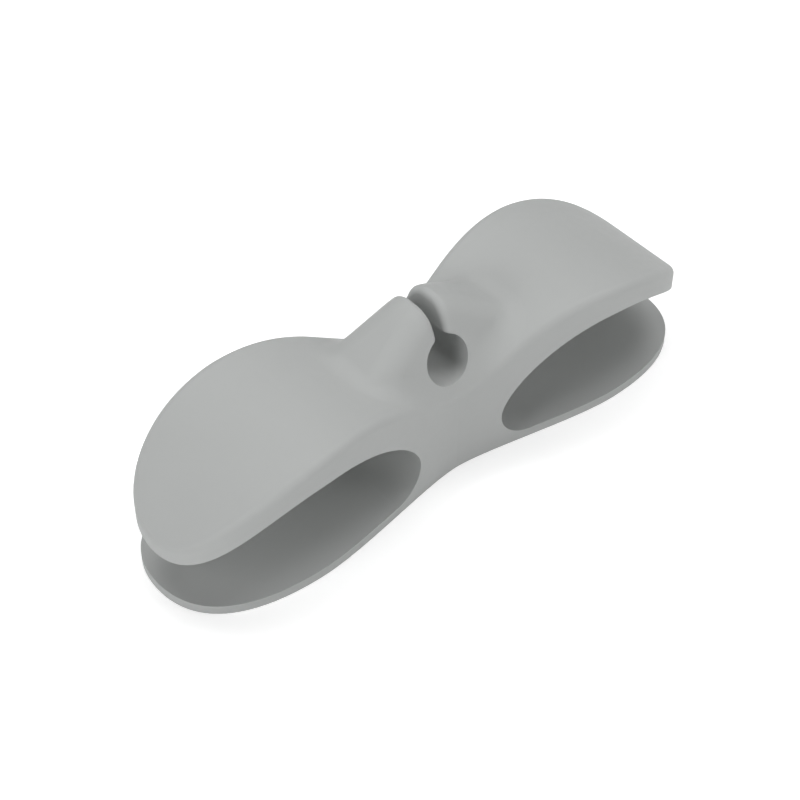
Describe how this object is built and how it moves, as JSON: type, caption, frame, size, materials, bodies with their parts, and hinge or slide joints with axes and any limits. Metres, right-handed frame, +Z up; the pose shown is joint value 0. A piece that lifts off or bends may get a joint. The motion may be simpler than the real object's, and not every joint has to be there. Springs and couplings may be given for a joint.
{
  "type": "cable clip",
  "caption": "Moulded clip with a flat foot and arched paddles for winding an appliance lead, and a slotted hump whose bore grips the loose end.",
  "frame": {"origin": "middle of the flat foot, on the surface that the clip stands on or is stuck to", "axes": "+X along the clip from tip to tip, +Y across it along the lead's bore, +Z up"},
  "size_m": [0.1026, 0.0278, 0.0298],
  "materials": {
    "silicone": "matte moulded silicone, light grey"
  },
  "bodies": {
    "root": {"clip_body": "silicone"}
  },
  "joints": []
}
